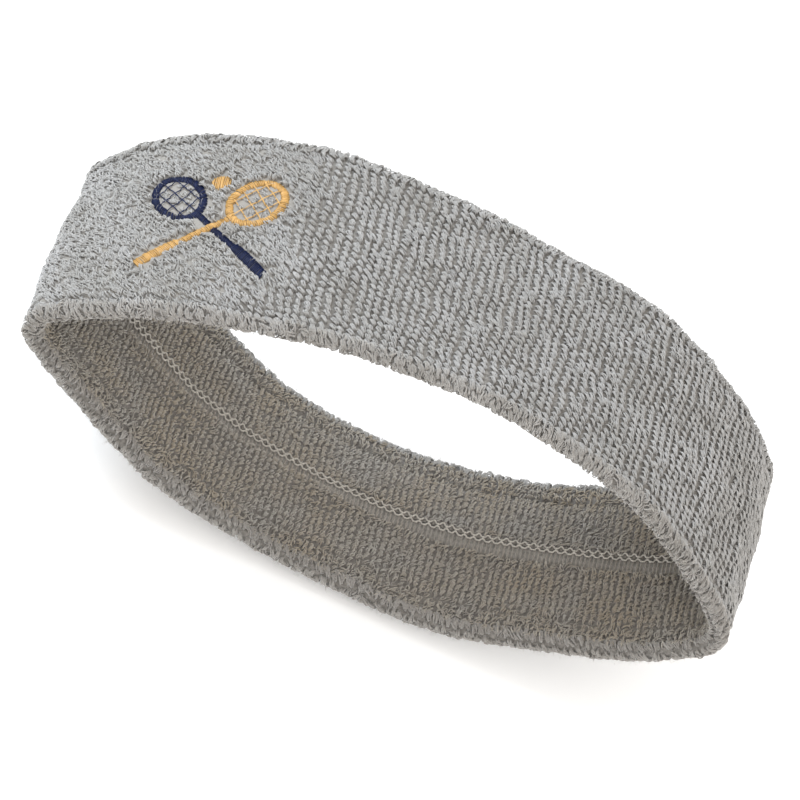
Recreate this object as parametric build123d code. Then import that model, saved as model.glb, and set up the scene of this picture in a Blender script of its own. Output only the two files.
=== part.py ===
from build123d import *
import os
from math import atan2, cos, degrees, pi, sin

# A double-ply terry sports headband, lying on its side on a table as a flattened loop.
# X runs along the long way of the loop, Y along the wearer's up direction, which is the
# width of the band, and Z is up. The origin is on the table, under the middle of the loop.

# Loop outline, measured to the tips of the outer terry
loop_length = 163.0
loop_height = 74.5
end_height = 34.5  # height of the middle of both turned ends
end_radius = 10.0
rest_flat = 14.0  # length of the stretch that lies flat on the table

# Band section, with depths counted inward from the tips of the outer terry
band_width = 50.0
pile = 1.6
ground = 0.55
ply_gap = 0.5
thickness = 2 * (pile + ground) + ply_gap
outer_ground_depth = pile
gap_depth = pile + ground
lining_ground_depth = gap_depth + ply_gap
lining_pile_depth = lining_ground_depth + ground
rim_radius = thickness / 2
flat_width = band_width - 2 * rim_radius

# Linking seam, which joins the two plain welts on the head side
seam_y = 2.5
seam_slot = 0.4
welt_thickness = 0.8
upper_welt_width = 1.4
lower_welt_width = 4.0
chain_width = 2.4
chain_thickness = 0.6

# Covered elastic yarns, laid in the knit along every second course
elastic_pitch = 3.0
elastic_width = 0.5
elastic_thickness = 0.3

# Embroidery of two crossed rackets and a ball, sunk into the terry of the face
emblem_arc = -56.0  # place along the face, from the crown of the loop to where the rackets cross
emblem_y = -1.0
satin_top_depth = 0.5
satin_thickness = 0.8
underlay_inset = 0.3
bobbin_thickness = 0.2
racket_angle = 50.0
racket_length = 36.0
head_length = 14.0
head_breadth = 11.0
head_centre = 11.0  # distance of each head's middle from the point where the rackets cross
frame_width = 1.7
shaft_width = 1.5
grip_width = 2.6
grip_length = 10.0
string_width = 0.4
string_pitch = 2.5
ball_diameter = 4.2
ball_height = 11.5  # above the point where the rackets cross
backing_size = 36.0
backing_corner = 4.0

half_length = loop_length / 2
end_x = half_length - end_radius
half_flat = rest_flat / 2


def tangent_radius(run, rise):
    """Radius of an arc that leaves its crown level and meets the end arc smoothly.

    run and rise go from the arc's crown to the centre of the end arc.
    """
    return (run**2 + rise**2 - end_radius**2) / (2 * (rise - end_radius))


side_radius = tangent_radius(end_x - half_flat, end_height)
top_radius = tangent_radius(end_x, loop_height - end_height)


def outline_arcs():
    """Centre x, centre z, radius, first and last angle of each arc, anticlockwise from the flat."""
    top_centre = loop_height - top_radius
    side_angle = atan2(end_height - side_radius, end_x - half_flat)
    top_angle = atan2(end_height - top_centre, end_x)
    return [
        (half_flat, side_radius, side_radius, -pi / 2, side_angle),
        (end_x, end_height, end_radius, side_angle, top_angle),
        (0.0, top_centre, top_radius, top_angle, pi - top_angle),
        (-end_x, end_height, end_radius, pi - top_angle, pi - side_angle),
        (-half_flat, side_radius, side_radius, pi - side_angle, 3 * pi / 2),
    ]


def swept_arc(section, arc):
    """The section, drawn as (Y, depth), turned along one arc of the outline."""
    centre_x, centre_z, radius, first, last = arc
    start = Plane(
        origin=(centre_x + radius * cos(first), 0, centre_z + radius * sin(first)),
        x_dir=(0, 1, 0),
        z_dir=(-sin(first), 0, cos(first)),
    )
    axis = Axis((centre_x, 0, centre_z), (0, -1, 0))
    return revolve(start * section, axis=axis, revolution_arc=degrees(last - first))


def ring(section):
    """The section, drawn as (Y, depth), carried all the way round the loop."""
    start = Plane(origin=(-half_flat, 0, 0), x_dir=(0, 1, 0), z_dir=(1, 0, 0))
    body = extrude(start * section, amount=rest_flat, dir=(1, 0, 0))
    for arc in outline_arcs():
        body += swept_arc(section, arc)
    return body


def strip(low_y, high_y, low_depth, high_depth):
    """A rectangle of the section."""
    middle = Pos((low_y + high_y) / 2, (low_depth + high_depth) / 2)
    return middle * Rectangle(high_y - low_y, high_depth - low_depth)


def rim_fold(side, inner_radius, outer_radius):
    """Half of a round tube in the section, where the fabric folds at the upper or lower rim."""
    tube = Circle(outer_radius) - Circle(inner_radius)
    outer_half = Pos(side * outer_radius / 2, 0) * Rectangle(outer_radius, 2 * outer_radius)
    return Pos(side * flat_width / 2, rim_radius) * (tube & outer_half)


def elastic_rows(low_depth, clear_of_seam):
    """Sections of the elastic yarns of one ply."""
    count = int(flat_width / elastic_pitch)
    rows = []
    for index in range(count):
        y = (index - (count - 1) / 2) * elastic_pitch
        if abs(y - seam_y) > clear_of_seam:
            low_y = y - elastic_width / 2
            rows.append(strip(low_y, low_y + elastic_width, low_depth, low_depth + elastic_thickness))
    return rows


face_elastic_depth = gap_depth - elastic_thickness
face_elastic = elastic_rows(face_elastic_depth, 0.0)
lining_elastic = elastic_rows(lining_ground_depth, seam_slot + elastic_width)


def ground_section():
    """The knitted base fabric: a tube folded flat, open along the seam slot."""
    half = flat_width / 2
    low_slot = seam_y - seam_slot / 2
    high_slot = seam_y + seam_slot / 2
    section = strip(-half, half, outer_ground_depth, gap_depth)
    section += strip(-half, low_slot, lining_ground_depth, lining_pile_depth)
    section += strip(high_slot, half, lining_ground_depth, lining_pile_depth)
    for side in (-1, 1):
        section += rim_fold(side, ply_gap / 2, ply_gap / 2 + ground)
    for row in face_elastic + lining_elastic:
        section -= row
    return section


def head_outline(inset):
    """The oval of a racket's head, drawn in by an inset, with the crossing point as origin."""
    return Pos(0, head_centre) * Ellipse(head_breadth / 2 - inset, head_length / 2 - inset)


def leaning(side, sketch):
    """A sketch of an upright racket, leaned to the left with side -1 or to the right with 1."""
    return Rot(0, 0, -side * racket_angle) * sketch


def racket_frame(side, inset=0.0):
    """Outline of one racket's rim, shaft and grip, with its edges drawn in by an inset."""
    butt = head_centre + head_length / 2 - racket_length
    shaft_top = head_centre - head_length / 2 + frame_width / 2
    rim = head_outline(inset) - head_outline(frame_width - inset)
    shaft_foot = butt + inset
    shaft_middle = Pos(0, (shaft_foot + shaft_top) / 2)
    shaft = shaft_middle * Rectangle(shaft_width - 2 * inset, shaft_top - shaft_foot)
    grip = Pos(0, butt + grip_length / 2) * Rectangle(grip_width - 2 * inset, grip_length - 2 * inset)
    return leaning(side, rim + shaft + grip)


def racket_strings(side):
    """The strings of one racket: a small grid of single stitches inside its head."""
    grid = Sketch()
    for step in (-1, 0, 1):
        grid += Pos(step * string_pitch, head_centre) * Rectangle(string_width, head_length)
    for step in (-1.5, -0.5, 0.5, 1.5):
        grid += Pos(0, head_centre + step * string_pitch) * Rectangle(head_breadth, string_width)
    return leaning(side, grid & head_outline(frame_width))


def on_face(outline, low_depth, high_depth):
    """An outline of the emblem, as a curved slab between two depths of the face."""
    layer = swept_arc(strip(-flat_width / 2, flat_width / 2, low_depth, high_depth), outline_arcs()[2])
    angle = emblem_arc / top_radius
    outward = (sin(angle), 0, cos(angle))
    reach = top_radius + pile
    centre = (reach * outward[0], emblem_y, loop_height - top_radius + reach * outward[2])
    above = Plane(origin=centre, x_dir=(cos(angle), 0, -sin(angle)), z_dir=outward)
    column = extrude(above * outline, amount=-2 * thickness)
    return layer & column


satin_bottom_depth = satin_top_depth + satin_thickness

gold_racket = racket_frame(1)
navy_racket = racket_frame(-1) - gold_racket
gold_strings = racket_strings(1)
navy_strings = racket_strings(-1)
ball = Pos(0, ball_height) * Circle(ball_diameter / 2)
pocket = gold_racket + navy_racket + leaning(1, head_outline(0)) + leaning(-1, head_outline(0)) + ball
small_ball = Pos(0, ball_height) * Circle(ball_diameter / 2 - underlay_inset)
gold_underlay = racket_frame(1, underlay_inset) + small_ball
navy_underlay = racket_frame(-1, underlay_inset) - gold_racket
backing = RectangleRounded(backing_size, backing_size, backing_corner)

half = flat_width / 2
slot_low = seam_y - seam_slot / 2
slot_high = seam_y + seam_slot / 2
upper_welt_edge = slot_high + upper_welt_width
lower_welt_edge = slot_low - lower_welt_width
welt_face_depth = lining_pile_depth + welt_thickness
chain_top_depth = welt_face_depth + chain_thickness
bobbin_depth = gap_depth + bobbin_thickness

nodes = {
    "ground_knit": ring(ground_section()),
    "face_terry": ring(strip(-half, half, 0, pile)) - on_face(pocket, -pile, pile),
    "upper_rim_terry": ring(rim_fold(1, rim_radius - pile, rim_radius)),
    "lower_rim_terry": ring(rim_fold(-1, rim_radius - pile, rim_radius)),
    "upper_lining_terry": ring(strip(upper_welt_edge, half, lining_pile_depth, thickness)),
    "lower_lining_terry": ring(strip(-half, lower_welt_edge, lining_pile_depth, thickness)),
    "upper_welt": ring(strip(slot_high, upper_welt_edge, lining_pile_depth, welt_face_depth)),
    "lower_welt": ring(strip(lower_welt_edge, slot_low, lining_pile_depth, welt_face_depth)),
    "seam_needle_thread": ring(strip(slot_low, slot_high, lining_ground_depth, welt_face_depth)),
    "seam_looper_thread": ring(
        strip(seam_y - chain_width / 2, seam_y + chain_width / 2, welt_face_depth, chain_top_depth)
    ),
    "face_elastic_yarns": Compound(children=[ring(row) for row in face_elastic]),
    "lining_elastic_yarns": Compound(children=[ring(row) for row in lining_elastic]),
    "navy_racket_satin": on_face(navy_racket, satin_top_depth, satin_bottom_depth),
    "gold_racket_satin": on_face(gold_racket, satin_top_depth, satin_bottom_depth),
    "gold_ball_satin": on_face(ball, satin_top_depth, satin_bottom_depth),
    "navy_strings": on_face(navy_strings, satin_bottom_depth, pile),
    "gold_strings": on_face(gold_strings, satin_bottom_depth, pile),
    "navy_underlay": on_face(navy_underlay, satin_bottom_depth, pile),
    "gold_underlay": on_face(gold_underlay, satin_bottom_depth, pile),
    "bobbin_thread": on_face(navy_underlay + gold_underlay, gap_depth, bobbin_depth),
    "backing_patch": on_face(backing, bobbin_depth, lining_ground_depth),
}

mid_length = rest_flat
for _, _, radius, first, last in outline_arcs():
    mid_length += (radius - thickness / 2) * (last - first)
print(f"length round the middle of the fabric: {mid_length:.1f} mm")

os.makedirs("parts", exist_ok=True)
for name, shape in nodes.items():
    shape.label = name
    export_step(shape, f"parts/{name}.step")
    print(f"{name}: {shape.volume:.0f} mm3, {len(shape.solids())} solids")
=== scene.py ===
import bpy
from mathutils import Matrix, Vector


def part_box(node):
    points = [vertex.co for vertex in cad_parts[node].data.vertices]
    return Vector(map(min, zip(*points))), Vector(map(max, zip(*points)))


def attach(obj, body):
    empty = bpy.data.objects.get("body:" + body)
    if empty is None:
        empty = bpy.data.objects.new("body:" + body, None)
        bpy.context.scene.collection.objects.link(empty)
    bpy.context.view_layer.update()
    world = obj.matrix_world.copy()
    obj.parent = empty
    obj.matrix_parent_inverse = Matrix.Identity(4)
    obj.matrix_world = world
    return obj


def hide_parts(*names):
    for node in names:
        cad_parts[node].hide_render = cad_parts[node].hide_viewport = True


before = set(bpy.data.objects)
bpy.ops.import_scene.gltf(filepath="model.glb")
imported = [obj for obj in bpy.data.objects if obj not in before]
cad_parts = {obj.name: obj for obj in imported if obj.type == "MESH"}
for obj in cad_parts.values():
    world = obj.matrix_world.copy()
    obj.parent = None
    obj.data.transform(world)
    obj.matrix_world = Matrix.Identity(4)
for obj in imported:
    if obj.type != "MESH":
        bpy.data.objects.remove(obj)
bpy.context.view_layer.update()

import math

import bpy
import numpy as np

# A terry sports headband lying on its side. Every yarn is placed on one map of the fabric:
# s runs round the loop from its crown towards +X, u runs round the folded section from the
# middle of the face towards +Y, and h is the height above the base fabric, all in metres.

MM = 0.001
rng = np.random.default_rng(11)

# Sizes that the CAD nodes give
face_low, face_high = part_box("face_terry")
ground_low, ground_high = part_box("ground_knit")
lining_low, lining_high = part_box("upper_lining_terry")
rim_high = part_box("upper_rim_terry")[1]
welt_low, welt_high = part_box("lower_welt")
LOOP_LENGTH = face_high[0] - face_low[0]
LOOP_HEIGHT = face_high[2] - face_low[2]
PILE = face_high[2] - ground_high[2]
THICKNESS = face_high[2] - lining_high[2] + PILE
HALF_WIDTH = rim_high[1]
SEAM_Y = welt_high[1] + 0.2 * MM
WELT_LOW_Y = welt_low[1]
UPPER_WELT_Y = lining_low[1]

# Sizes of the outline that the boxes don't give
END_HEIGHT = 34.5 * MM
END_RADIUS = 10 * MM
REST_FLAT = 14 * MM
FOLD_RADIUS = THICKNESS / 2 - PILE
HALF_FLAT = HALF_WIDTH - THICKNESS / 2
FOLD_LENGTH = math.pi * FOLD_RADIUS

# The base fabric is GROUND thick under its surface, and the matted roots of the pile fill
# it up by ROOTS over that surface
GROUND = 0.55 * MM
ROOTS = 0.6 * MM

# How the soft band strays from its smooth oval, in millimetres, as cosine and sine waves
# round the loop: SWELL for the whole width, TWIST growing to opposite ends at the two rims.
# LEAN slides the two rims apart along X.
SWELL = {1: (-0.9, 1.4), 2: (0.2, -0.1), 3: (-1.4, 0.1)}
TWIST = {0: (1.1, 0.0), 1: (1.5, 0.3), 2: (0.5, -0.5), 3: (-1.5, -0.7)}
LEAN = -0.8 * MM

# LIFT raises the band until its low places rest on the floor. The fabric bends, by about
# FLOOR_EASE, to keep its middle FLOOR_GAP above the floor, and no yarn's middle is lower
# than LOWEST.
LIFT = 3.9 * MM
FLOOR_GAP = 1.3 * MM
FLOOR_EASE = 0.5 * MM
LOWEST = 0.15 * MM


# ---------------------------------------------------------------- the fabric's shape


def tangent_radius(run, rise):
    """Radius of an arc from its crown to the end arc, as in the CAD outline."""
    return (run**2 + rise**2 - END_RADIUS**2) / (2 * (rise - END_RADIUS))


def outline_table():
    """Points and outward normals along the fabric's middle, and the length up to each."""
    end_x = LOOP_LENGTH / 2 - END_RADIUS
    side_radius = tangent_radius(end_x - REST_FLAT / 2, END_HEIGHT)
    top_radius = tangent_radius(end_x, LOOP_HEIGHT - END_HEIGHT)
    top_centre = LOOP_HEIGHT - top_radius
    side_angle = math.atan2(END_HEIGHT - side_radius, end_x - REST_FLAT / 2)
    top_angle = math.atan2(END_HEIGHT - top_centre, end_x)
    runs = [
        (0, top_centre, top_radius, math.pi / 2, top_angle),
        (end_x, END_HEIGHT, END_RADIUS, top_angle, side_angle),
        (REST_FLAT / 2, side_radius, side_radius, side_angle, -math.pi / 2),
    ]
    right = []
    for centre_x, centre_z, radius, first, last in runs:
        angle = np.linspace(first, last, 240)
        reach = radius - THICKNESS / 2
        columns = [centre_x + reach * np.cos(angle), centre_z + reach * np.sin(angle)]
        right.append(np.stack([*columns, np.cos(angle), np.sin(angle)], 1))
    right = np.concatenate(right)
    left = right[::-1] * (-1, 1, -1, 1)
    table = np.concatenate([right, left])
    steps = np.hypot(np.diff(table[:, 0]), np.diff(table[:, 1]))
    return table, np.concatenate([[0], np.cumsum(steps)]), top_radius


OUTLINE, OUTLINE_S, TOP_RADIUS = outline_table()
LOOP = float(OUTLINE_S[-1])


def smooth_noise(seed, wavelength, count=14):
    """A smooth random field over (s, y), repeating once round the loop, of about unit size."""
    draw = np.random.default_rng(seed)
    turns = np.round(draw.normal(0, LOOP / wavelength, count))
    across = draw.normal(0, 2 * math.pi / wavelength, count)
    start = draw.uniform(0, 2 * math.pi, count)

    def field(s, y):
        total = 0
        for turn, rate, phase in zip(turns, across, start):
            total = total + np.cos(2 * math.pi * turn * s / LOOP + rate * y + phase)
        return total / math.sqrt(count / 2)

    return field


def waves(table, phase):
    """A sum of waves round the loop, in metres."""
    total = 0
    for count, (cosine, sine) in table.items():
        total = total + cosine * np.cos(count * phase) + sine * np.sin(count * phase)
    return total * MM


def bump(distance, width):
    """A smooth rounded bump of unit height."""
    return np.exp(-((distance / width) ** 2))


def ramp(value):
    """0 below 0, 1 above 1 and smooth between."""
    value = np.clip(value, 0, 1)
    return value * value * (3 - 2 * value)


broad_noise = smooth_noise(1, 45 * MM)
middle_noise = smooth_noise(2, 14 * MM)
small_noise = smooth_noise(3, 6 * MM)

# The emblem's middle on the fabric, and the radius of the mark that its hoop has left
EMBLEM_S = -54.9 * MM
EMBLEM_Y = -1.0 * MM
HOOP_RADIUS = 31 * MM

# Dents that run along the band next to each rim, on the face and on the head side
FACE_DENT_Y = 21.4 * MM
LINING_DENT_Y = 17.6 * MM


def around(s):
    """s as a distance from the crown, from minus half the loop to plus half."""
    return np.mod(s + LOOP / 2, LOOP) - LOOP / 2


def relief(s, y, rise):
    """How far the fabric stands off its even thickness, outward."""
    outer = np.clip(rise / FOLD_RADIUS, -1, 1)
    on_face = (outer + 1) / 2
    share = y / HALF_WIDTH
    ends = np.sin(2 * math.pi * s / LOOP) ** 2
    face_dent = bump(np.abs(y) - FACE_DENT_Y, 0.8 * MM)
    lining_dent = bump(np.abs(y) - LINING_DENT_Y, 1.0 * MM)
    total = 0.35 * MM * broad_noise(s, y) + 0.12 * MM * middle_noise(s, y)
    total += outer * 0.3 * MM * (1 - share**2)
    total -= on_face * face_dent * (0.35 + 0.5 * ends) * MM
    total += (1 - on_face) * lining_dent * 0.8 * MM
    reach = np.hypot(around(s) - EMBLEM_S, y - EMBLEM_Y)
    right_side = ramp((around(s) - EMBLEM_S) / (20 * MM))
    total += on_face * right_side * bump(reach - HOOP_RADIUS, 2.2 * MM) * 0.45 * MM
    total -= on_face * right_side * bump(reach - HOOP_RADIUS + 4 * MM, 2.0 * MM) * 0.3 * MM
    total -= on_face * bump(reach, 15 * MM) * 0.35 * MM
    return total


def fabric(s, y, rise):
    """World position of a point of the fabric; rise is measured outward from its middle."""
    s, y, rise = np.broadcast_arrays(s, y, rise)
    x, z, out_x, out_z = (np.interp(np.mod(s, LOOP), OUTLINE_S, column) for column in OUTLINE.T)
    phase = 2 * math.pi * s / LOOP
    share = y / HALF_WIDTH
    off = rise + waves(SWELL, phase) + share * waves(TWIST, phase) + relief(s, y, rise)
    clear = z + out_z * off + LIFT - FLOOR_GAP
    height = FLOOR_GAP + (clear + np.sqrt(clear**2 + FLOOR_EASE**2)) / 2
    drift = 0.35 * MM * broad_noise(s, 0) * share
    return np.stack([x + out_x * off + LEAN * share, y + drift, height], -1)


def section(u):
    """Place in the section and outward direction at u: y, rise, and their two slopes."""
    side = np.sign(u)
    past = np.abs(u) - HALF_FLAT
    turn = np.clip(past / FOLD_RADIUS, 0, math.pi)
    back = np.maximum(past - FOLD_LENGTH, 0)
    flat = np.minimum(np.abs(u), HALF_FLAT)
    y = side * (flat + FOLD_RADIUS * np.sin(turn) - back)
    return y, FOLD_RADIUS * np.cos(turn), side * np.sin(turn), np.cos(turn)


def skin(s, u, h):
    """World position at height h above the base fabric."""
    y, rise, slope_y, slope_rise = section(u)
    return fabric(s, y + slope_y * h, rise + slope_rise * h)


def unit(vectors):
    """The same directions at unit length."""
    return vectors / np.maximum(np.linalg.norm(vectors, axis=-1, keepdims=True), 1e-12)


def skin_axes(s, u):
    """Directions round the loop, round the section and out of the pile."""
    step = 0.2 * MM
    along = unit(skin(s + step, u, 0) - skin(s - step, u, 0))
    out = unit(skin(s, u, step) - skin(s, u, 0))
    across = unit(np.cross(out, along))
    return along, across, out


def lining_u(y):
    """u of a place on the head side, below the seam for a y under it and above it otherwise."""
    side = np.where(y < SEAM_Y, -1, 1)
    return side * (HALF_FLAT + FOLD_LENGTH + HALF_FLAT - side * y)


# ---------------------------------------------------------------- mesh making


def quad_mesh(name, points, quads, attributes=()):
    """A smooth mesh object of quads, with float attributes on its points."""
    mesh = bpy.data.meshes.new(name)
    mesh.vertices.add(len(points))
    mesh.vertices.foreach_set("co", np.ascontiguousarray(points, dtype=np.float32).ravel())
    mesh.loops.add(quads.size)
    mesh.loops.foreach_set("vertex_index", np.ascontiguousarray(quads, dtype=np.int32).ravel())
    mesh.polygons.add(len(quads))
    mesh.polygons.foreach_set("loop_start", np.arange(0, quads.size, 4, dtype=np.int32))
    for key, values in attributes:
        layer = mesh.attributes.new(key, "FLOAT", "POINT")
        layer.data.foreach_set("value", np.ascontiguousarray(values, dtype=np.float32).ravel())
    mesh.update(calc_edges=True)
    mesh.validate()
    mesh.polygons.foreach_set("use_smooth", np.ones(len(quads), dtype=bool))
    made = bpy.data.objects.new(name, mesh)
    bpy.context.scene.collection.objects.link(made)
    return made


# Flat sides round a yarn
SIDES = 4


def strand_mesh(name, lines, side_way, radius, shade, depth, closed=False):
    """Round yarns along many centrelines, which hold (yarn, point, xyz).

    side_way is a direction across each yarn's plane. radius is one number per point or for
    all, shade one per yarn and depth one per point, from 0 at the root to 1 at the tip.
    """
    count, points, _ = lines.shape
    if closed:
        tangent = unit(np.roll(lines, -1, 1) - np.roll(lines, 1, 1))
    else:
        tangent = unit(np.gradient(lines, axis=1))
    side_way = np.broadcast_to(side_way, lines.shape)
    first = unit(np.cross(tangent, side_way))
    second = np.cross(first, tangent)
    angle = np.arange(SIDES) * 2 * math.pi / SIDES
    radius = np.broadcast_to(radius, (count, points))[:, :, None, None]
    ring = np.cos(angle)[:, None] * first[:, :, None, :]
    ring = ring + np.sin(angle)[:, None] * second[:, :, None, :]
    verts = (lines[:, :, None, :] + radius * ring).reshape(-1, 3)
    index = np.arange(count * points * SIDES).reshape(count, points, SIDES)
    if closed:
        index = np.concatenate([index, index[:, :1]], 1)
    turned = np.roll(index, -1, 2)
    walls = np.stack([index[:, :-1], turned[:, :-1], turned[:, 1:], index[:, 1:]], -1).reshape(-1, 4)
    if not closed:
        start, end = index[:, 0], index[:, -1]
        caps = [start[:, [3, 2, 1, 0]], end[:, [0, 1, 2, 3]]]
        walls = np.concatenate([walls, *caps])
    shade = np.broadcast_to(np.reshape(shade, (-1, 1, 1)), (count, points, SIDES))
    depth = np.broadcast_to(np.broadcast_to(depth, (count, points))[:, :, None], (count, points, SIDES))
    return quad_mesh(name, verts, walls, [("shade", shade), ("depth", depth)])


def grid_quads(index):
    """Quads between the neighbours in a grid of vertex numbers."""
    corners = [index[:-1, :-1], index[1:, :-1], index[1:, 1:], index[:-1, 1:]]
    return np.stack(corners, -1).reshape(-1, 4)


def grid_mesh(name, surface, wrap, attributes=()):
    """A mesh over a grid of points (row, column, xyz) that closes on itself in the ways given."""
    rows, columns, _ = surface.shape
    index = np.arange(rows * columns).reshape(rows, columns)
    if wrap[0]:
        index = np.concatenate([index, index[:1]], 0)
    if wrap[1]:
        index = np.concatenate([index, index[:, :1]], 1)
    return quad_mesh(name, surface.reshape(-1, 3), grid_quads(index), attributes)


# ---------------------------------------------------------------- materials


class Shader:
    """A Principled material with short calls for its nodes."""

    def __init__(self, name, **sockets):
        self.material = bpy.data.materials.new(name)
        self.material.use_nodes = True
        self.nodes = self.material.node_tree.nodes
        self.links = self.material.node_tree.links
        self.surface = self.nodes["Principled BSDF"]
        for key, value in sockets.items():
            self.surface.inputs[key.replace("_", " ")].default_value = value
        self.place = self.nodes.new("ShaderNodeTexCoord").outputs["Object"]

    def noise(self, scale, detail=2.0, roughness=0.5):
        node = self.nodes.new("ShaderNodeTexNoise")
        node.inputs["Scale"].default_value = scale
        node.inputs["Detail"].default_value = detail
        node.inputs["Roughness"].default_value = roughness
        self.links.new(self.place, node.inputs["Vector"])
        return node.outputs["Fac"]

    def attribute(self, name):
        node = self.nodes.new("ShaderNodeAttribute")
        node.attribute_name = name
        return node.outputs["Fac"]

    def spread(self, source, low, high, to_low=0.0, to_high=1.0):
        node = self.nodes.new("ShaderNodeMapRange")
        limits = {"From Min": low, "From Max": high, "To Min": to_low, "To Max": to_high}
        for key, value in limits.items():
            node.inputs[key].default_value = value
        self.links.new(source, node.inputs["Value"])
        return node.outputs["Result"]

    def mix(self, factor, first, second, blend="MIX"):
        node = self.nodes.new("ShaderNodeMix")
        node.data_type = "RGBA"
        node.blend_type = blend
        if isinstance(factor, float):
            node.inputs["Factor"].default_value = factor
        else:
            self.links.new(factor, node.inputs["Factor"])
        for slot, value in (("A", first), ("B", second)):
            socket = next(i for i in node.inputs if i.name == slot and i.type == "RGBA")
            if isinstance(value, tuple):
                socket.default_value = (*value, 1)
            else:
                self.links.new(value, socket)
        return next(o for o in node.outputs if o.type == "RGBA")

    def colour(self, source):
        self.links.new(source, self.surface.inputs["Base Color"])

    def roughness(self, source):
        self.links.new(source, self.surface.inputs["Roughness"])

    def bumped(self, height, distance, strength=1.0):
        node = self.nodes.new("ShaderNodeBump")
        node.inputs["Distance"].default_value = distance
        node.inputs["Strength"].default_value = strength
        self.links.new(height, node.inputs["Height"])
        self.links.new(node.outputs["Normal"], self.surface.inputs["Normal"])


def yarn_material(name, dark, light, root, worn=(0.9, 0.89, 0.87), fresh=(1.06, 1.06, 1.07)):
    """Cotton yarn: each strand has its own shade, and painted shade darkens the pile towards its roots.

    Broad patches are multiplied by colours from worn to fresh.
    """
    made = Shader(
        name,
        Sheen_Weight=0.6,
        Sheen_Roughness=0.45,
        Specular_IOR_Level=0.1,
        Subsurface_Weight=0.4,
        Subsurface_Radius=(1.0, 0.95, 0.9),
        Subsurface_Scale=0.5 * MM,
    )
    strands = made.mix(made.attribute("shade"), dark, light)
    patches = made.mix(made.spread(made.noise(90), 0.3, 0.7), worn, fresh)
    varied = made.mix(1.0, strands, patches, "MULTIPLY")
    # Painted shade: the root colour, mixed in where the depth attribute is low, darkens the pile deep
    # between its loops.
    depth = made.spread(made.attribute("depth"), 0.1, 0.75)
    made.colour(made.mix(depth, root, varied))
    made.roughness(made.spread(made.noise(900), 0.3, 0.7, 0.82, 0.98))
    return made.material


def thread_material(name, dark, light, roughness, specular):
    """Shiny embroidery thread with a little variation between stitches."""
    made = Shader(name, Sheen_Weight=0.15, Sheen_Roughness=0.3, Specular_IOR_Level=specular)
    stitches = made.mix(made.attribute("shade"), dark, light)
    fine = made.mix(made.spread(made.noise(2500, 3.0), 0.3, 0.7), (0.86, 0.86, 0.86), (1.1, 1.1, 1.1))
    varied = made.mix(1.0, stitches, fine, "MULTIPLY")
    # Painted shade: each thread darkens to 0.35 of its dark colour towards its ends, where it dips into
    # the fabric.
    depth = made.spread(made.attribute("depth"), 0.0, 0.6)
    made.colour(made.mix(depth, tuple(0.35 * c for c in dark), varied))
    made.roughness(made.spread(made.noise(1500), 0.3, 0.7, roughness - 0.08, roughness + 0.1))
    return made.material


def knit_material(name, dark, light, stitch):
    """Plain knit: small stitch bumps with painted shade in their hollows, patchy colour, lighter where
    shade is 1.
    """
    made = Shader(name, Sheen_Weight=0.3, Sheen_Roughness=0.5, Specular_IOR_Level=0.15)
    patch = made.mix(made.spread(made.noise(160, 4.0), 0.3, 0.7), dark, light)
    fine = made.noise(stitch, 3.0)
    # Painted shade: the colour falls to 0.7 of the dark tone in the low places of the stitch bumps.
    shaded_stitch_colour = made.mix(made.spread(fine, 0.35, 0.65), tuple(0.7 * c for c in dark), patch)
    # Where the shade attribute is 1 the knit is painted lighter; on the ground this is painted light in
    # the gaps between loose loops.
    made.colour(made.mix(made.attribute("shade"), shaded_stitch_colour, tuple(1.1 * c for c in light)))
    made.roughness(made.spread(fine, 0.3, 0.7, 0.85, 0.98))
    made.bumped(fine, 0.25 * MM)
    return made.material


# Each yarn's root colour is painted shade at the foot of its loops.
FACE_YARN = yarn_material(
    "terry_face_yarn",
    dark=(0.35, 0.346, 0.338),
    light=(0.405, 0.4, 0.392),
    root=(0.305, 0.294, 0.277),
)
LINING_YARN = yarn_material(
    "terry_lining_yarn",
    dark=(0.367, 0.336, 0.3),
    light=(0.452, 0.419, 0.378),
    root=(0.31, 0.28, 0.246),
    worn=(1.0, 0.94, 0.82),
    fresh=(0.98, 1.02, 1.05),
)
# A darker, warmer copy of the face yarn: painted shade for the lower rim on the band's shadow side.
SHADED_LOWER_RIM_YARN = yarn_material(
    "terry_shaded_rim_yarn",
    dark=(0.31, 0.294, 0.274),
    light=(0.38, 0.362, 0.34),
    root=(0.28, 0.262, 0.24),
)
# A lighter copy of the face yarn: painted light for the upper rim, brightly lit along the band's top
# edge.
LIT_UPPER_RIM_YARN = yarn_material(
    "terry_lit_upper_rim_yarn",
    dark=(0.375, 0.37, 0.36),
    light=(0.435, 0.429, 0.419),
    root=(0.33, 0.319, 0.302),
)
GROUND_KNIT = knit_material("ground_knit", (0.24, 0.226, 0.208), (0.31, 0.294, 0.272), 1400)
WELT_KNIT = knit_material("welt_knit", (0.255, 0.242, 0.222), (0.345, 0.33, 0.305), 1100)
SEAM_THREAD = thread_material("seam_thread", (0.56, 0.53, 0.48), (0.67, 0.64, 0.59), 0.7, 0.2)
NAVY_THREAD = thread_material("navy_thread", (0.003, 0.007, 0.036), (0.007, 0.016, 0.07), 0.5, 0.3)
GOLD_THREAD = thread_material("gold_thread", (0.50, 0.29, 0.085), (0.70, 0.43, 0.15), 0.38, 0.5)
BOBBIN_THREAD = thread_material("bobbin_thread", (0.7, 0.7, 0.68), (0.8, 0.8, 0.78), 0.5, 0.4)
ELASTIC_YARN = thread_material("elastic_yarn", (0.5, 0.49, 0.46), (0.6, 0.59, 0.56), 0.6, 0.3)
BACKING = knit_material("backing_fibres", (0.7, 0.7, 0.68), (0.82, 0.82, 0.8), 2200)


def finished(piece, material, slot, *nodes):
    """Gives a piece its material and its body, and hides the CAD nodes that it stands for; slot is not
    used.
    """
    piece.data.materials.append(material)
    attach(piece, "root")
    if nodes:
        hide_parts(*nodes)
    return piece


# ---------------------------------------------------------------- the emblem's outline

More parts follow.
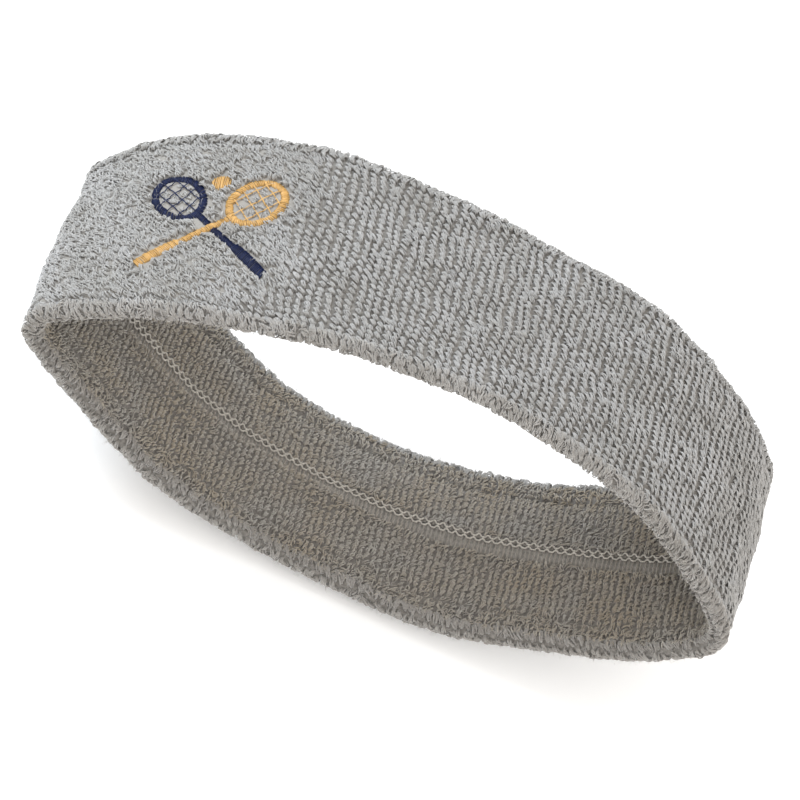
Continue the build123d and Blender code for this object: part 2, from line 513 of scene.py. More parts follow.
# An upright racket has its crossing point with the other one at the origin. It leans by
# RACKET_ANGLE to the side of the sign given as side: -1 for navy, 1 for gold, 0 for the ball.
RACKET_ANGLE = math.radians(50)
RACKET_LENGTH = 36 * MM
HEAD_LENGTH = 14 * MM
HEAD_BREADTH = 11 * MM
HEAD_CENTRE = 11 * MM
FRAME_WIDTH = 1.7 * MM
SHAFT_WIDTH = 1.5 * MM
GRIP_WIDTH = 2.6 * MM
GRIP_LENGTH = 10 * MM
STRING_PITCH = 2.5 * MM
BALL_RADIUS = 2.1 * MM
BALL_HEIGHT = 11.5 * MM
RIM_RADII = (HEAD_BREADTH / 2 - FRAME_WIDTH / 2, HEAD_LENGTH / 2 - FRAME_WIDTH / 2)
BUTT = HEAD_CENTRE + HEAD_LENGTH / 2 - RACKET_LENGTH
SHAFT_TOP = HEAD_CENTRE - HEAD_LENGTH / 2 + FRAME_WIDTH / 2

# Length along the fabric's middle for a length on the outside of the band's top
ARC_SHARE = (TOP_RADIUS - THICKNESS / 2) / TOP_RADIUS


def to_fabric(points, side):
    """Points of an upright racket, leaned to its side, as s and y on the fabric."""
    lean = -side * RACKET_ANGLE
    x = points[..., 0] * math.cos(lean) - points[..., 1] * math.sin(lean)
    y = points[..., 0] * math.sin(lean) + points[..., 1] * math.cos(lean)
    return EMBLEM_S + x * ARC_SHARE, EMBLEM_Y + y


def to_racket(s, y, side):
    """The opposite of to_fabric."""
    lean = side * RACKET_ANGLE
    x, y = (around(s) - EMBLEM_S) / ARC_SHARE, y - EMBLEM_Y
    return x * math.cos(lean) - y * math.sin(lean), x * math.sin(lean) + y * math.cos(lean)


def box_distance(x, y, half_x, low_y, high_y):
    """Distance outside an upright box, negative inside."""
    beyond_x = np.abs(x) - half_x
    beyond_y = np.abs(y - (low_y + high_y) / 2) - (high_y - low_y) / 2
    outside = np.hypot(np.maximum(beyond_x, 0), np.maximum(beyond_y, 0))
    return outside + np.minimum(np.maximum(beyond_x, beyond_y), 0)


def racket_distance(s, y, side):
    """Distance from the satin of one racket, negative inside."""
    x, up = to_racket(s, y, side)
    radius = np.hypot(x / RIM_RADII[0], (up - HEAD_CENTRE) / RIM_RADII[1])
    rim = np.abs(radius - 1) * sum(RIM_RADII) / 2 - FRAME_WIDTH / 2
    shaft = box_distance(x, up, SHAFT_WIDTH / 2, BUTT, SHAFT_TOP)
    grip = box_distance(x, up, GRIP_WIDTH / 2, BUTT, BUTT + GRIP_LENGTH)
    return np.minimum(rim, np.minimum(shaft, grip))


def emblem_distance(s, y):
    """Distance from the nearest satin stitching of the emblem, negative inside."""
    ball_x, ball_y = to_racket(s, y, 0)
    ball = np.hypot(ball_x, ball_y - BALL_HEIGHT) - BALL_RADIUS
    return np.minimum(ball, np.minimum(racket_distance(s, y, -1), racket_distance(s, y, 1)))


def string_gap(s, y):
    """True inside a racket's head, and distance there from the nearest string."""
    inside, gap = False, 1.0
    for side in (-1, 1):
        x, up = to_racket(s, y, side)
        up = up - HEAD_CENTRE
        radius = np.hypot(x / RIM_RADII[0], up / RIM_RADII[1])
        uprights = np.abs(x - STRING_PITCH * np.clip(np.round(x / STRING_PITCH), -1, 1))
        crossings = np.abs(up - STRING_PITCH * (np.floor(up / STRING_PITCH) + 0.5))
        inside = inside | (radius < 1)
        gap = np.where(radius < 1, np.minimum(uprights, crossings), gap)
    return inside, gap


# ---------------------------------------------------------------- terry pile

# How far the strands of a loop stray: shares of its size, a turn in radians, and lengths
SIZE_SPREAD = 0.12
TURN_SPREAD = 0.45
ROOT_SPREAD = 0.32 * MM
WOBBLE = 0.06 * MM

# How deep the feet of the loops are in the matted roots
FOOT_DEPTH = 0.1 * MM


def loops(s, u, angle, half_span, height, lean, scatter, strands, spread, points, radius):
    """Arched yarn loops rooted at (s, u): lines, side directions, radii and depth along them.

    angle turns each loop's span in the fabric, from the way round the loop towards +u. lean
    tips it over, as (round, across) shares of its height. Each loop has several strands, and
    scatter, from 0 to 1, is how far they stray from lying side by side. spread is their pitch,
    radius their thickness and points how many points each has.
    """
    along, across, out = skin_axes(s, u)
    base = skin(s, u, 0)
    turn = np.linspace(0, math.pi, points)
    lines, sides = [], []
    for index in range(strands):
        place = (index - (strands - 1) / 2) * spread
        jitter = rng.normal(0, SIZE_SPREAD, (len(s), 4))
        own = angle + scatter * rng.normal(0, TURN_SPREAD, len(s))
        stray = scatter[:, None] * rng.normal(0, ROOT_SPREAD, (len(s), 2))
        span = np.cos(own)[:, None] * along + np.sin(own)[:, None] * across
        side = -np.sin(own)[:, None] * along + np.cos(own)[:, None] * across
        reach = half_span * (1 + jitter[:, 0])
        tall = height * (1 + 0.7 * jitter[:, 1])
        shift = place * (1 + jitter[:, 2]) + 0.5 * spread * jitter[:, 3]
        round_way = (-np.cos(turn))[None] * reach[:, None]
        rise = ROOTS - FOOT_DEPTH + (np.sin(turn) ** 0.6)[None] * tall[:, None]
        aside = shift[:, None] * (0.5 + 0.5 * np.sin(turn))[None]
        wobble = WOBBLE * rng.normal(0, 1, (len(s), points)) * np.sin(turn)
        start = base + stray[:, :1] * along + stray[:, 1:] * across
        line = start[:, None] + round_way[..., None] * span[:, None] + rise[..., None] * out[:, None]
        line += (aside + wobble)[..., None] * side[:, None]
        tip = (np.sin(turn)[None] * tall[:, None])[..., None]
        slope = lean[0][:, None, None] * along[:, None] + lean[1][:, None, None] * across[:, None]
        line += tip * slope
        lines.append(line)
        sides.append(np.broadcast_to(side[:, None], line.shape))
    depth = np.tile(np.sin(turn), (len(s) * strands, 1))
    lines = np.concatenate(lines)
    lines[..., 2] = np.maximum(lines[..., 2], LOWEST)
    thick = radius * (1 + rng.normal(0, 0.1, (len(lines), 1)))
    return lines, np.concatenate(sides), thick, depth


def sector_pieces(name, lines, sides, radius, depth, material, slot, node, sectors):
    """Splits yarns into pieces by their place round the loop, so that none is too heavy."""
    shade = np.clip(rng.normal(0.5, 0.25, len(lines)), 0, 1)
    middle = lines[:, lines.shape[1] // 2]
    bearing = np.arctan2(middle[:, 2] - LOOP_HEIGHT / 2, middle[:, 0])
    order = np.argsort(bearing)
    made = []
    for index, chosen in enumerate(np.array_split(order, sectors)):
        piece = strand_mesh(
            f"{name}_{index + 1:02d}",
            lines[chosen], sides[chosen], radius[chosen], shade[chosen], depth[chosen],
        )
        made.append(finished(piece, material, slot, node))
    return made


def pile_grid(wale_pitch, rows, jitter_s, jitter_u):
    """Roots of loops on wales round the loop and on the given courses of the section."""
    wales = int(round(LOOP / wale_pitch))
    s, u = np.meshgrid(np.arange(wales) * LOOP / wales, rows, indexing="ij")
    s = s + rng.normal(0, 1, s.shape) * jitter_s
    u = u + rng.normal(0, 1, u.shape) * jitter_u
    return s.ravel(), u.ravel()


def fluffiness(s, u):
    """1 where the face pile is loose, towards the emblem's end and round the emblem; 0 on the wales."""
    place = around(s)
    edge = -36 * MM + 0.25 * u + 4 * MM * broad_noise(s, u)
    loose = ramp((edge - place) / (12 * MM)) * ramp((place + 112 * MM) / (14 * MM))
    return np.maximum(loose, bump(np.maximum(emblem_distance(s, u), 0), 4.5 * MM))


# The face pile stands in wales, columns of slanted loops across the band, and keeps clear
# of the satin stitches and the strings
FACE_WALE_PITCH = 1.92 * MM
FACE_COURSES = 32
FACE_SLANT = -math.radians(50)
FACE_HALF_SPAN = 0.92 * MM
SATIN_CLEAR = 0.45 * MM
STRING_CLEAR = 0.32 * MM
YARN_RADIUS = 0.13 * MM


def face_pile():
    """Terry on the outside: rope-like wales, fluffier towards the emblem's end of the band."""
    rows = np.linspace(-HALF_FLAT + 0.4 * MM, HALF_FLAT - 0.4 * MM, FACE_COURSES)
    between = rows[:-1] + (rows[1] - rows[0]) / 2
    s, u = pile_grid(FACE_WALE_PITCH, rows, 0.1 * MM, 0.08 * MM)
    more_s, more_u = pile_grid(FACE_WALE_PITCH, between, 0.3 * MM, 0.3 * MM)
    extra = np.arange(len(s) + len(more_s)) >= len(s)
    s = np.concatenate([s, more_s + FACE_WALE_PITCH / 2])
    u = np.concatenate([u, more_u])
    tufts = 0.45 * ramp((small_noise(s, u) + 0.2 * middle_noise(s, u) - 1.1) / 0.8)
    softer_end = 0.27 * bump(around(s) - 80 * MM, 45 * MM)
    fluff = np.maximum(fluffiness(s, u), np.maximum(tufts, softer_end))
    s = s + fluff * rng.normal(0, 0.22 * MM, len(s)) + 0.25 * MM * middle_noise(s, u)
    u = u + fluff * rng.normal(0, 0.22 * MM, len(s))
    distance = emblem_distance(s, u)
    inside, gap = string_gap(s, u)
    turning = bump(np.abs(around(s)) - LOOP / 4, 10 * MM)
    needed = ~extra | (fluff > 0.3) | inside | (turning > 0.5)
    keep = needed & (distance > SATIN_CLEAR) & (~inside | (gap > STRING_CLEAR))
    s, u, fluff, distance, inside, turning = (v[keep] for v in (s, u, fluff, distance, inside, turning))
    angle = FACE_SLANT + rng.normal(0, 0.1, len(s)) + fluff * rng.normal(0, 0.2, len(s))
    half_span = FACE_HALF_SPAN * (1 + 0.2 * turning)
    height = (0.88 + 0.08 * small_noise(s, u)) * MM
    near = bump(np.maximum(distance, 0), 1.8 * MM)
    height = np.where(inside, 0.36 * MM, height + 0.35 * MM * near)
    half_span = np.where(inside, 0.6 * MM, half_span - 0.2 * MM * near)
    lean = (
        0.06 * rng.normal(0, 1, len(s)) + fluff * rng.normal(0, 0.2, len(s)),
        -0.35 + 0.08 * rng.normal(0, 1, len(s)) + fluff * rng.normal(0, 0.2, len(s)),
    )
    scatter = 0.08 + 0.55 * fluff
    made = loops(s, u, angle, half_span, height, lean, scatter, 4, 0.26 * MM, 7, YARN_RADIUS)
    return sector_pieces("face_terry_loops", *made, FACE_YARN, "terry", "face_terry", 10)


# Places of the rows of rim loops, as shares of the way round the fold
RIM_ROWS = (0.0, 0.18, 0.36, 0.52, 0.9, 1.08)
RIM_WALE_PITCH = 1.45 * MM
THIN_YARN_RADIUS = 0.125 * MM


def rim_pile(side, name, material, node):
    """Rolled rows of slanted loops round a folded edge, with a few that curl out."""
    rows = side * (HALF_FLAT + FOLD_LENGTH * np.array(RIM_ROWS))
    s, u = pile_grid(RIM_WALE_PITCH, rows, 0.3 * MM, 0.1 * MM)
    curly = ramp((small_noise(s, u) - 0.6) / 0.8)
    angle = side * (1.15 + rng.normal(0, 0.22, len(s)) + curly * rng.normal(0, 0.6, len(s)))
    half_span = (0.82 - 0.12 * curly) * MM
    height = (0.75 + 0.07 * rng.normal(0, 1, len(s)) + 0.12 * curly) * MM
    lean = (rng.normal(0.15, 0.15, len(s)), rng.normal(0, 0.15, len(s)))
    scatter = 0.2 + 0.6 * curly
    made = loops(s, u, angle, half_span, height, lean, scatter, 4, 0.25 * MM, 7, THIN_YARN_RADIUS)
    return sector_pieces(name, *made, material, "terry", node, 3)


LINING_WALE_PITCH = 1.5 * MM
LINING_COURSE_PITCH = 1.05 * MM


def lining_pile(low_y, high_y, name, node):
    """Short compact loops on the head side, with a curlier row next to the welt.

    Near the emblem's end the loops under the seam creep up over part of the welt.
    """
    count = int((high_y - low_y) / LINING_COURSE_PITCH)
    rows = lining_u(np.linspace(low_y + 0.5 * MM, high_y - 0.5 * MM, count))
    s, u = pile_grid(LINING_WALE_PITCH, rows, 0.1 * MM, 0.12 * MM)
    y = section(u)[0]
    covered = ramp((-around(s) - 70 * MM) / (30 * MM)) * ramp((y - WELT_LOW_Y + 8 * MM) / (8 * MM))
    y = np.where(y < SEAM_Y, y + 1.8 * MM * covered, y)
    u = lining_u(y)
    edge = bump(np.minimum(np.abs(y - WELT_LOW_Y), np.abs(y - UPPER_WELT_Y)), 1.1 * MM) * (1 - covered)
    loose = ramp((np.abs(y) - 14 * MM) / (6 * MM))
    messy = np.clip(edge + loose + 0.5 * ramp((middle_noise(s, u) - 0.3) / 1.2), 0, 1)
    angle = rng.normal(1.05, 0.22, len(s)) + messy * rng.normal(0, 0.5, len(s))
    half_span = (0.68 + 0.15 * edge) * MM
    height = 0.62 + 0.08 * rng.normal(0, 1, len(s)) + 0.06 * small_noise(s, u)
    height = (height + 0.55 * edge + 0.15 * loose) * MM
    lean = (rng.normal(0, 0.2, len(s)), rng.normal(0.2, 0.2, len(s)) + 0.3 * edge)
    scatter = 0.15 + 0.5 * messy
    made = loops(s, u, angle, half_span, height, lean, scatter, 3, 0.29 * MM, 6, THIN_YARN_RADIUS)
    return sector_pieces(name, *made, LINING_YARN, "terry", node, 5)


FIBRE_RADIUS = 0.028 * MM


def stray_fibres(name, count, rows, length, material, node):
    """Fine single fibres that stand off the pile."""
    s = rng.uniform(0, LOOP, count)
    u = rng.choice(rows, count) + rng.normal(0, 0.8 * MM, count)
    along, across, out = skin_axes(s, u)
    base = skin(s, u, 0.9 * MM)
    steps = np.linspace(0, 1, 5)
    way = out + 0.8 * rng.normal(0, 1, (count, 1)) * along
    way = unit(way + 0.8 * rng.normal(0, 1, (count, 1)) * across)
    curl = unit(np.cross(way, rng.normal(0, 1, (count, 3))))
    reach = length * rng.uniform(0.5, 1.2, (count, 1, 1))
    lines = base[:, None] + reach * steps[None, :, None] * way[:, None]
    lines = lines + reach * 0.45 * (steps**2)[None, :, None] * curl[:, None]
    lines[..., 2] = np.maximum(lines[..., 2], LOWEST)
    sideways = np.cross(way, curl)[:, None]
    shade = rng.uniform(0.5, 1, count)
    piece = strand_mesh(name, lines, sideways, FIBRE_RADIUS, shade, 1.0)
    return finished(piece, material, "terry", node)


# ---------------------------------------------------------------- ground, welts, seam


def ground_piece():
    """The base fabric: one closed shell round the folded section, open at the seam."""
    half_opening = 0.21 * MM
    u = np.linspace(lining_u(SEAM_Y - half_opening), lining_u(SEAM_Y + half_opening), 96)
    turn = (u > HALF_FLAT - 0.6 * MM) & (u < HALF_FLAT + FOLD_LENGTH + 0.6 * MM)
    extra = np.linspace(HALF_FLAT, HALF_FLAT + FOLD_LENGTH, 7)
    u = np.sort(np.concatenate([u[~turn & ~turn[::-1]], extra, -extra]))
    s = np.arange(440) * LOOP / 440
    loose = fluffiness(s[None], u[:, None]) * (np.abs(u[:, None]) < HALF_FLAT)
    covered = bump(np.minimum(emblem_distance(s[None], u[:, None]), 4 * MM), 2 * MM)
    covered = np.maximum(covered, string_gap(s[None], u[:, None])[0])
    outer = skin(s[None], u[:, None], ROOTS + 0.25 * MM * loose * (1 - covered))
    inner = skin(s[None], u[::-1, None], -GROUND)
    shell = np.concatenate([outer, inner])
    # Painted light: the ground is coloured lighter where the pile is loose, for light reaching the gaps
    # between its loose loops.
    gap_light = np.concatenate([loose, np.zeros_like(loose)])
    piece = grid_mesh("ground_knit_fabric", shell, (True, True), [("shade", gap_light)])
    return finished(piece, GROUND_KNIT, "knit", "ground_knit")


WELT_WALE_PITCH = 0.96 * MM


def welt_piece(low_y, high_y, name, node):
    """A plain knitted edge next to the seam, raised over the ground, with its stitches."""
    s = np.arange(620) * LOOP / 620
    y = np.linspace(low_y, high_y, 9)
    round_top = 0.12 * MM * np.sin(np.linspace(0, math.pi, 9))
    top = skin(s[None], lining_u(y)[:, None], (0.62 * MM + round_top)[:, None])
    foot = skin(s[None], lining_u(y[::-1])[:, None], 0.3 * MM)
    strip = grid_mesh(name, np.concatenate([top, foot]), (True, True))
    finished(strip, WELT_KNIT, "knit", node)
    wales = int(LOOP / WELT_WALE_PITCH)
    s = np.arange(wales) * LOOP / wales + rng.normal(0, 0.05 * MM, wales)
    lines = []
    for hand in (-1, 1):
        share = np.linspace(0, 1, 8)
        leg_s = s[:, None] + hand * (0.1 + 0.09 * np.cos(share * 5 * math.pi))[None] * MM
        leg_y = np.broadcast_to(low_y + (high_y - low_y) * share, leg_s.shape)
        lines.append(skin(leg_s, lining_u(leg_y), 0.78 * MM))
    lines = np.concatenate(lines)
    tiny = 1e-6  # a straight leg would give no direction without it
    sideways = unit(np.cross(lines[:, 1:2] - lines[:, :1], lines[:, 2:3] - lines[:, :1] + tiny))
    shade = rng.uniform(0.2, 0.9, len(lines))
    # Depth 0.35 mixes much of the lining yarn's painted root shade into these stitches, darkening them.
    stitches = strand_mesh(name + "_stitches", lines, sideways, 0.1 * MM, shade, 0.35)
    return strip, finished(stitches, LINING_YARN, "knit", node)


# The chain's cells along the seam, its thread, how far a thread's middle stays from the
# seam, and how far the seam wanders across the band
CHAIN_PITCH = 2.05 * MM
CHAIN_RADIUS = 0.2 * MM
LEAST_APART = 0.01 * MM
SEAM_WANDER = 0.12 * MM


def seam_pieces():
    """The chain that closes the lining: a looper thread and a needle thread, as a row of cells."""
    cells = int(LOOP / CHAIN_PITCH)
    per_cell = 10
    step = np.arange(cells * per_cell)
    s = step * LOOP / len(step)
    wave = np.clip(1.7 * np.cos(2 * math.pi * step / per_cell), -1, 1)
    level = 1.12 * MM + 0.12 * MM * np.cos(4 * math.pi * step / per_cell)
    wander = SEAM_WANDER * middle_noise(s, 0)
    made = []
    threads = (
        (-1, "seam_looper_chain", "seam_looper_thread"),
        (1, "seam_needle_chain", "seam_needle_thread"),
    )
    for hand, name, node in threads:
        apart = (0.66 + 0.34 * wave) * MM + hand * wander
        u = lining_u(SEAM_Y + hand * np.maximum(apart, LEAST_APART))
        line = skin(s, u, level)[None]
        out = skin_axes(s, u)[2][None]
        thread = strand_mesh(name, line, out, CHAIN_RADIUS, 0.6, 1.0, closed=True)
        made.append(finished(thread, SEAM_THREAD, "seam_thread", node))
    s = (np.arange(cells) + 0.5) * LOOP / cells
    y = SEAM_Y + 0.5 * MM * np.linspace(-1, 1, 5)[None] + SEAM_WANDER * middle_noise(s, 0)[:, None]
    lines = fabric(s[:, None], y, -(FOLD_RADIUS + 1.1 * MM))
    across = unit(np.roll(lines[:, 2], -1, 0) - lines[:, 2])[:, None]
    ties = strand_mesh("seam_cross_ties", lines, across, CHAIN_RADIUS, rng.uniform(0, 1, cells), 1.0)
    made.append(finished(ties, SEAM_THREAD, "seam_thread", "seam_needle_thread"))
    return made


ELASTIC_PITCH = 3 * MM
ELASTIC_RADIUS = 0.14 * MM


def elastic_piece(rise, rows, name, node):
    """Covered elastic yarns laid in the knit all round the loop."""
    s = np.arange(300) * LOOP / 300
    lines = np.stack([fabric(s, y, rise) for y in rows])
    out = unit(np.stack([fabric(s, y, rise + 0.1 * MM) for y in rows]) - lines)
    shade = rng.uniform(0, 1, len(rows))
    piece = strand_mesh(name, lines, out, ELASTIC_RADIUS, shade, 1.0, closed=True)
    return finished(piece, ELASTIC_YARN, "elastic", node)


# ---------------------------------------------------------------- embroidery

# Pitches of satin, underlay and bobbin stitches, and how far in from an outline the two
# hidden layers start
THREAD_PITCH = 0.38 * MM
UNDERLAY_PITCH = 0.8 * MM
BOBBIN_PITCH = 0.5 * MM
INSET = 0.35 * MM


def stitched(name, lines, side, level, yarn, node, lift=None):
    """Threads between the starts and ends in lines, as racket coordinates, arched over the fabric.

    level is a thread's height at its ends, its height in its middle and its radius. yarn is
    its material and slot, and lift adds height by place.
    """
    starts, ends = lines
    low, high, radius = level
    share = np.linspace(0, 1, 9)
    points = starts[:, None] * (1 - share)[None, :, None] + ends[:, None] * share[None, :, None]
    s, y = to_fabric(points, side)
    arch = np.sin(share * math.pi) ** 0.55
    h = low + (high - low) * arch[None]
    if lift is not None:
        h = h + lift(s, y)
    lines = skin(s, y, h)
    out = skin_axes(s, y)[2]
    shade = np.clip(rng.normal(0.5, 0.25, len(lines)), 0, 1)
    sideways = unit(np.cross(lines[:, -1:] - lines[:, :1], out))
    # The depth, low at a thread's ends, brings in the material's painted shade there.
    piece = strand_mesh(name, lines, sideways, radius, shade, np.clip(arch, 0.15, 1)[None])
    return finished(piece, *yarn, node)


def ragged(points):
    """The same points, a little uneven, as machine stitches end."""
    return points + rng.normal(0, 0.06 * MM, points.shape)


def racket_stitches(inset=0.0, pitch=THREAD_PITCH):
    """Starts and ends of the satin stitches of one upright racket."""
    around_rim = np.arange(0, 2 * math.pi, pitch / (sum(RIM_RADII) / 2))
    rim_way = np.stack([np.cos(around_rim), np.sin(around_rim)], 1)
    middle = rim_way * RIM_RADII + (0, HEAD_CENTRE)
    normal = unit(rim_way / RIM_RADII)
    slant = np.stack([-normal[:, 1], normal[:, 0]], 1) * 0.25 * MM
    half = FRAME_WIDTH / 2 - inset
    starts = [middle - normal * half - slant]
    ends = [middle + normal * half + slant]
    grip_top = BUTT + GRIP_LENGTH
    for low, high, width in ((BUTT, grip_top, GRIP_WIDTH), (grip_top, SHAFT_TOP, SHAFT_WIDTH)):
        up = np.arange(low, high, pitch)
        half = width / 2 - inset
        starts.append(np.stack([np.full(len(up), -half), up - 0.2 * MM], 1))
        ends.append(np.stack([np.full(len(up), half), up + 0.2 * MM], 1))
    return ragged(np.concatenate(starts)), ragged(np.concatenate(ends))


def string_stitches():
    """Runs of single stitches that draw the strings of one upright racket."""
    starts, ends = [], []
    reach = (RIM_RADII[0] - 0.3 * MM, RIM_RADII[1] - 0.3 * MM)
    for step in (-1, 0, 1):
        x = step * STRING_PITCH
        tall = reach[1] * math.sqrt(1 - (x / reach[0]) ** 2)
        cuts = np.linspace(-tall, tall, 5)
        starts += [(x, HEAD_CENTRE + a) for a in cuts[:-1]]
        ends += [(x, HEAD_CENTRE + b) for b in cuts[1:]]
    for step in (-1.5, -0.5, 0.5, 1.5):
        up = step * STRING_PITCH
        wide = reach[0] * math.sqrt(1 - (up / reach[1]) ** 2)
        cuts = np.linspace(-wide, wide, 4)
        starts += [(a, HEAD_CENTRE + up) for a in cuts[:-1]]
        ends += [(b, HEAD_CENTRE + up) for b in cuts[1:]]
    return ragged(np.array(starts)), ragged(np.array(ends))


def ball_stitches(inset=0.0, pitch=THREAD_PITCH):
    """Parallel stitches across the ball."""
    radius = BALL_RADIUS - inset
    x = np.arange(-radius + 0.1 * MM, radius, pitch)
    half = np.sqrt(radius**2 - x**2)
    starts = np.stack([x, BALL_HEIGHT - half], 1)
    ends = np.stack([x, BALL_HEIGHT + half], 1)
    return ragged(starts), ragged(ends)


def over_navy(s, y):
    """Extra height where the gold racket lies over the navy one."""
    return 0.3 * MM * (1 - ramp((racket_distance(s, y, -1) + 0.3 * MM) / (0.8 * MM)))


def embroidery():
    """Satin, strings and underlay on the face, and the bobbin stitches under the face ply."""
    navy = (NAVY_THREAD, "navy_thread")
    gold = (GOLD_THREAD, "gold_thread")
    white = (BOBBIN_THREAD, "bobbin_thread")
    satin = (0.4 * MM, 0.92 * MM, 0.2 * MM)
    string = (0.82 * MM, 1.08 * MM, 0.15 * MM)
    underlay = (0.1 * MM, 0.22 * MM, 0.12 * MM)
    under = (-GROUND - 0.1 * MM, -GROUND - 0.1 * MM, 0.08 * MM)
    stitched("navy_racket_stitches", racket_stitches(), -1, satin, navy, "navy_racket_satin")
    stitched("gold_racket_stitches", racket_stitches(), 1, satin, gold, "gold_racket_satin", over_navy)
    stitched("gold_ball_stitches", ball_stitches(), 0, satin, gold, "gold_ball_satin")
    stitched("navy_string_stitches", string_stitches(), -1, string, navy, "navy_strings")
    stitched("gold_string_stitches", string_stitches(), 1, string, gold, "gold_strings")
    for side, yarn, colour in ((-1, navy, "navy"), (1, gold, "gold")):
        lines = racket_stitches(INSET, UNDERLAY_PITCH)
        stitched(f"{colour}_underlay_stitches", lines, side, underlay, yarn, f"{colour}_underlay")
    for side, place in ((-1, "left"), (1, "right")):
        lines = racket_stitches(INSET, BOBBIN_PITCH)
        stitched(f"bobbin_{place}_stitches", lines, side, under, white, "bobbin_thread")
    stitched("bobbin_ball_stitches", ball_stitches(INSET), 0, under, white, "bobbin_thread")


BACKING_HALF = 18 * MM
BACKING_CORNER = 4 * MM


def backing_piece():
    """The stabiliser between the plies behind the emblem, with its corners rounded off."""
    half, corner, cells = BACKING_HALF, BACKING_CORNER, 24
    edge = np.linspace(-half, half, cells)
    s, y = np.meshgrid(EMBLEM_S + edge * ARC_SHARE, EMBLEM_Y + edge, indexing="ij")
    past_s = np.maximum(np.abs(s - EMBLEM_S) - half + corner, 0)
    past_y = np.maximum(np.abs(y - EMBLEM_Y) - half + corner, 0)
    over = np.maximum(np.hypot(past_s, past_y) - corner, 0)
    pull = 1 - over / (half * 1.4)
    s = EMBLEM_S + (s - EMBLEM_S) * pull
    y = EMBLEM_Y + (y - EMBLEM_Y) * pull
    top = fabric(s, y, -0.02 * MM)
    foot = fabric(s, y, -0.2 * MM)
    index = np.arange(cells * cells).reshape(cells, cells)
    upper = grid_quads(index)
    lower = upper[:, ::-1] + cells * cells
    ring = np.concatenate([index[:, 0], index[-1, 1:], index[-2::-1, -1], index[0, -2:0:-1]])
    after = np.roll(ring, -1)
    wall = np.stack([after, ring, ring + cells * cells, after + cells * cells], -1)
    points = np.concatenate([top.reshape(-1, 3), foot.reshape(-1, 3)])
    piece = quad_mesh("backing_patch_sheet", points, np.concatenate([upper, lower, wall]))
    return finished(piece, BACKING, "backing", "backing_patch")


# ---------------------------------------------------------------- build the band

ground = ground_piece()
with_cloth = face_pile()
with_cloth += rim_pile(1, "upper_rim_loops", LIT_UPPER_RIM_YARN, "upper_rim_terry")
with_cloth += rim_pile(-1, "lower_rim_loops", SHADED_LOWER_RIM_YARN, "lower_rim_terry")
with_cloth += lining_pile(UPPER_WELT_Y, HALF_FLAT, "upper_lining_loops", "upper_lining_terry")
with_cloth += lining_pile(-HALF_FLAT, WELT_LOW_Y, "lower_lining_loops", "lower_lining_terry")
with_cloth += welt_piece(WELT_LOW_Y, SEAM_Y - 0.2 * MM, "lower_welt_strip", "lower_welt")
with_cloth += welt_piece(SEAM_Y + 0.2 * MM, UPPER_WELT_Y, "upper_welt_strip", "upper_welt")
with_cloth += seam_pieces()
face_rows = np.linspace(-HALF_FLAT, HALF_FLAT, 20)
rim_row = HALF_FLAT + FOLD_LENGTH / 2
with_cloth += [
    stray_fibres("face_fuzz", 4000, face_rows, 1.3 * MM, FACE_YARN, "face_terry"),
    stray_fibres("upper_rim_fuzz", 3500, [rim_row], 1.6 * MM, LIT_UPPER_RIM_YARN, "upper_rim_terry"),
    stray_fibres("lower_rim_fuzz", 2500, [-rim_row], 1.4 * MM, SHADED_LOWER_RIM_YARN, "lower_rim_terry"),
]
elastic_rise = FOLD_RADIUS - GROUND + 0.15 * MM
face_elastic_rows = [k * ELASTIC_PITCH for k in range(-7, 8)]
lining_elastic_rows = [y for y in face_elastic_rows if abs(y - SEAM_Y) > 0.9 * MM]
elastic_piece(elastic_rise, face_elastic_rows, "face_elastic_rings", "face_elastic_yarns")
elastic_piece(-elastic_rise, lining_elastic_rows, "lining_elastic_rings", "lining_elastic_yarns")
embroidery()
backing = backing_piece()

# ---------------------------------------------------------------- floor, light and camera


def floor():
    """A wide pale plane under the band."""
    bpy.ops.mesh.primitive_plane_add(size=3.0, location=(0, 0, 0))
    plane = bpy.context.object
    plane.name = "studio_floor"
    made = Shader(
        "studio_floor",
        Specular_IOR_Level=0.1,
        Roughness=0.9,
        Emission_Strength=0.25,
        Emission_Color=(1, 1, 1, 1),
    )
    grain = made.spread(made.noise(40, 4.0), 0.3, 0.7)
    made.colour(made.mix(grain, (0.93, 0.93, 0.93), (0.95, 0.95, 0.95)))
    plane.data.materials.append(made.material)


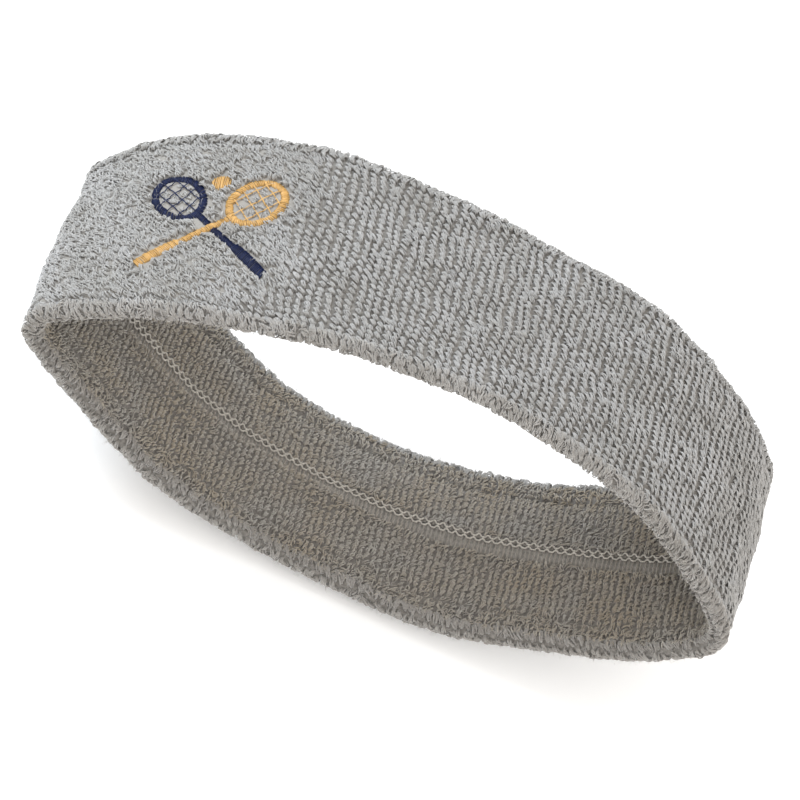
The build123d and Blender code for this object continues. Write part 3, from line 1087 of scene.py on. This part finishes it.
def sky():
    """Soft light from all round, brighter from above."""
    world = bpy.data.worlds.new("studio")
    world.use_nodes = True
    nodes = world.node_tree.nodes
    links = world.node_tree.links
    background = nodes["Background"]
    background.inputs["Color"].default_value = (1.0, 0.98, 0.96, 1)
    split = nodes.new("ShaderNodeSeparateXYZ")
    rise = nodes.new("ShaderNodeMapRange")
    limits = {"From Min": -0.1, "From Max": 0.8, "To Min": 0.72, "To Max": 1.2}
    for key, value in limits.items():
        rise.inputs[key].default_value = value
    links.new(nodes.new("ShaderNodeTexCoord").outputs["Generated"], split.inputs["Vector"])
    links.new(split.outputs["Z"], rise.inputs["Value"])
    links.new(rise.outputs["Result"], background.inputs["Strength"])
    bpy.context.scene.world = world


def area_light(name, place, target, size, power, colour):
    """A round soft light at a place, turned to its target."""
    data = bpy.data.lights.new(name, "AREA")
    data.energy, data.color = power, colour
    data.shape, data.size = "DISK", size
    lamp = bpy.data.objects.new(name, data)
    bpy.context.scene.collection.objects.link(lamp)
    lamp.location = place
    way = np.array(target) - np.array(place)
    lamp.rotation_euler = Vector(way).to_track_quat("-Z", "Y").to_euler()


def camera(target, azimuth, elevation, roll, distance, lens):
    """The scene's camera. At azimuth 0 it looks along +Y, and elevation is how far it looks down."""
    a, e, r = (math.radians(v) for v in (azimuth, elevation, roll))
    forward = Vector((math.sin(a) * math.cos(e), math.cos(a) * math.cos(e), -math.sin(e)))
    right = forward.cross(Vector((0, 0, 1))).normalized()
    up = right.cross(forward)
    right, up = math.cos(r) * right + math.sin(r) * up, math.cos(r) * up - math.sin(r) * right
    data = bpy.data.cameras.new("camera")
    data.lens = lens
    data.clip_start, data.clip_end = 0.05, 10
    cam = bpy.data.objects.new("camera", data)
    bpy.context.scene.collection.objects.link(cam)
    turn = Matrix((right, up, -forward)).transposed()
    cam.matrix_world = Matrix.Translation(Vector(target) - forward * distance) @ turn.to_4x4()
    bpy.context.scene.camera = cam


floor()
sky()
area_light("key_light", (-0.55, 0.1, 0.65), (-0.04, 0, 0.04), size=0.4, power=4.5, colour=(0.8, 0.9, 1.0))
area_light("fill_light", (0.2, -0.6, 0.6), (0, 0, 0.03), size=0.6, power=1.2, colour=(1.0, 0.94, 0.86))
camera((-0.0005, 0, 0.036 + LIFT), azimuth=9, elevation=44, roll=31.3, distance=0.799, lens=170.3)
bpy.context.scene.view_settings.view_transform = "Standard"
